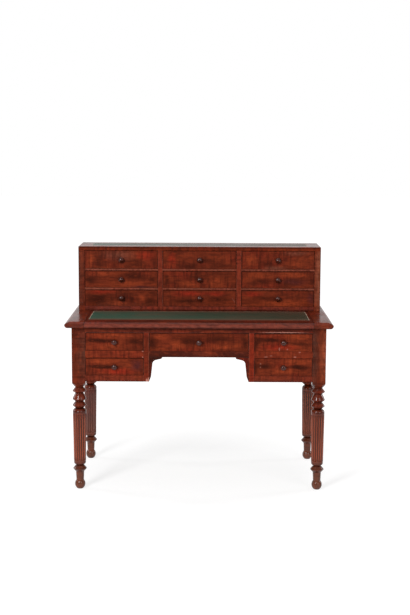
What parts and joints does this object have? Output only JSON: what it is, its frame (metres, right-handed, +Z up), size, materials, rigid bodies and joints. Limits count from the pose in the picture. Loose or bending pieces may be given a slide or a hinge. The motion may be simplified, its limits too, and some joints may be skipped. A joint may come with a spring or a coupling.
{
  "type": "stepped writing desk",
  "caption": "Mahogany writing desk with a stepped upper case of small drawers, a leather-lined sliding writing surface, table drawers round a kneehole and turned fluted legs.",
  "frame": {"origin": "on the floor under the middle of the table top", "axes": "+Z up, +X along the width to the sitter's right, the front faces -Y"},
  "size_m": [1.18, 0.636, 1.061],
  "materials": {
    "mahogany": "French polish",
    "mahogany_veneer": "French polish",
    "oak": "bare, aged",
    "knob_wood": "dark polish",
    "green_leather": "worn, satin"
  },
  "bodies": {
    "case": {"front_left_leg": "mahogany", "front_right_leg": "mahogany", "back_left_leg": "mahogany", "back_right_leg": "mahogany", "top_rail": "mahogany", "apron_rail": "mahogany", "kneehole_stiles": "mahogany", "side_mid_rails": "mahogany", "side_bottom_rails": "mahogany", "kneehole_brackets": "mahogany", "table_ends": "mahogany", "table_back": "oak", "pedestal_panels": "oak", "dust_board": "oak", "drawer_runners": "oak", "top_board_left": "mahogany", "top_board_right": "mahogany", "top_board_rear": "mahogany", "upper_ends": "mahogany", "upper_back_board": "oak", "upper_base": "mahogany", "upper_dividers": "mahogany", "upper_shelves": "mahogany", "upper_top_board": "mahogany", "upper_leather": "green_leather"},
    "writing_slide": {"writing_slide": "mahogany", "writing_leather": "green_leather"},
    "table_drawer_top_left": {"table_drawer_top_left_front": "mahogany_veneer", "table_drawer_top_left_box": "oak", "table_drawer_top_left_knob": "knob_wood"},
    "table_drawer_bottom_left": {"table_drawer_bottom_left_front": "mahogany_veneer", "table_drawer_bottom_left_box": "oak", "table_drawer_bottom_left_knob": "knob_wood"},
    "table_drawer_centre": {"table_drawer_centre_front": "mahogany_veneer", "table_drawer_centre_box": "oak", "table_drawer_centre_knob": "knob_wood"},
    "table_drawer_top_right": {"table_drawer_top_right_front": "mahogany_veneer", "table_drawer_top_right_box": "oak", "table_drawer_top_right_knob": "knob_wood"},
    "table_drawer_bottom_right": {"table_drawer_bottom_right_front": "mahogany_veneer", "table_drawer_bottom_right_box": "oak", "table_drawer_bottom_right_knob": "knob_wood"},
    "upper_drawer_top_left": {"upper_drawer_top_left": "mahogany_veneer", "upper_drawer_top_left_knob": "knob_wood"},
    "upper_drawer_top_centre": {"upper_drawer_top_centre": "mahogany_veneer", "upper_drawer_top_centre_knob": "knob_wood"},
    "upper_drawer_top_right": {"upper_drawer_top_right": "mahogany_veneer", "upper_drawer_top_right_knob": "knob_wood"},
    "upper_drawer_middle_left": {"upper_drawer_middle_left": "mahogany_veneer", "upper_drawer_middle_left_knob": "knob_wood"},
    "upper_drawer_middle_centre": {"upper_drawer_middle_centre": "mahogany_veneer", "upper_drawer_middle_centre_knob": "knob_wood"},
    "upper_drawer_middle_right": {"upper_drawer_middle_right": "mahogany_veneer", "upper_drawer_middle_right_knob": "knob_wood"},
    "upper_drawer_bottom_left": {"upper_drawer_bottom_left": "mahogany_veneer", "upper_drawer_bottom_left_knob": "knob_wood"},
    "upper_drawer_bottom_centre": {"upper_drawer_bottom_centre": "mahogany_veneer", "upper_drawer_bottom_centre_knob": "knob_wood"},
    "upper_drawer_bottom_right": {"upper_drawer_bottom_right": "mahogany_veneer", "upper_drawer_bottom_right_knob": "knob_wood"}
  },
  "joints": [
    {"name": "writing_slide_pull", "type": "slide", "parent": "case", "child": "writing_slide", "axis": [0, -1, 0], "range_m": [0, 0.25]},
    {"name": "table_drawer_top_left_pull", "type": "slide", "parent": "case", "child": "table_drawer_top_left", "axis": [0, -1, 0], "range_m": [0, 0.35]},
    {"name": "table_drawer_bottom_left_pull", "type": "slide", "parent": "case", "child": "table_drawer_bottom_left", "axis": [0, -1, 0], "range_m": [0, 0.35]},
    {"name": "table_drawer_centre_pull", "type": "slide", "parent": "case", "child": "table_drawer_centre", "axis": [0, -1, 0], "range_m": [0, 0.35]},
    {"name": "table_drawer_top_right_pull", "type": "slide", "parent": "case", "child": "table_drawer_top_right", "axis": [0, -1, 0], "range_m": [0, 0.35]},
    {"name": "table_drawer_bottom_right_pull", "type": "slide", "parent": "case", "child": "table_drawer_bottom_right", "axis": [0, -1, 0], "range_m": [0, 0.35]},
    {"name": "upper_drawer_top_left_pull", "type": "slide", "parent": "case", "child": "upper_drawer_top_left", "axis": [0, -1, 0], "range_m": [0, 0.15]},
    {"name": "upper_drawer_top_centre_pull", "type": "slide", "parent": "case", "child": "upper_drawer_top_centre", "axis": [0, -1, 0], "range_m": [0, 0.15]},
    {"name": "upper_drawer_top_right_pull", "type": "slide", "parent": "case", "child": "upper_drawer_top_right", "axis": [0, -1, 0], "range_m": [0, 0.15]},
    {"name": "upper_drawer_middle_left_pull", "type": "slide", "parent": "case", "child": "upper_drawer_middle_left", "axis": [0, -1, 0], "range_m": [0, 0.15]},
    {"name": "upper_drawer_middle_centre_pull", "type": "slide", "parent": "case", "child": "upper_drawer_middle_centre", "axis": [0, -1, 0], "range_m": [0, 0.15]},
    {"name": "upper_drawer_middle_right_pull", "type": "slide", "parent": "case", "child": "upper_drawer_middle_right", "axis": [0, -1, 0], "range_m": [0, 0.15]},
    {"name": "upper_drawer_bottom_left_pull", "type": "slide", "parent": "case", "child": "upper_drawer_bottom_left", "axis": [0, -1, 0], "range_m": [0, 0.15]},
    {"name": "upper_drawer_bottom_centre_pull", "type": "slide", "parent": "case", "child": "upper_drawer_bottom_centre", "axis": [0, -1, 0], "range_m": [0, 0.15]},
    {"name": "upper_drawer_bottom_right_pull", "type": "slide", "parent": "case", "child": "upper_drawer_bottom_right", "axis": [0, -1, 0], "range_m": [0, 0.15]}
  ]
}
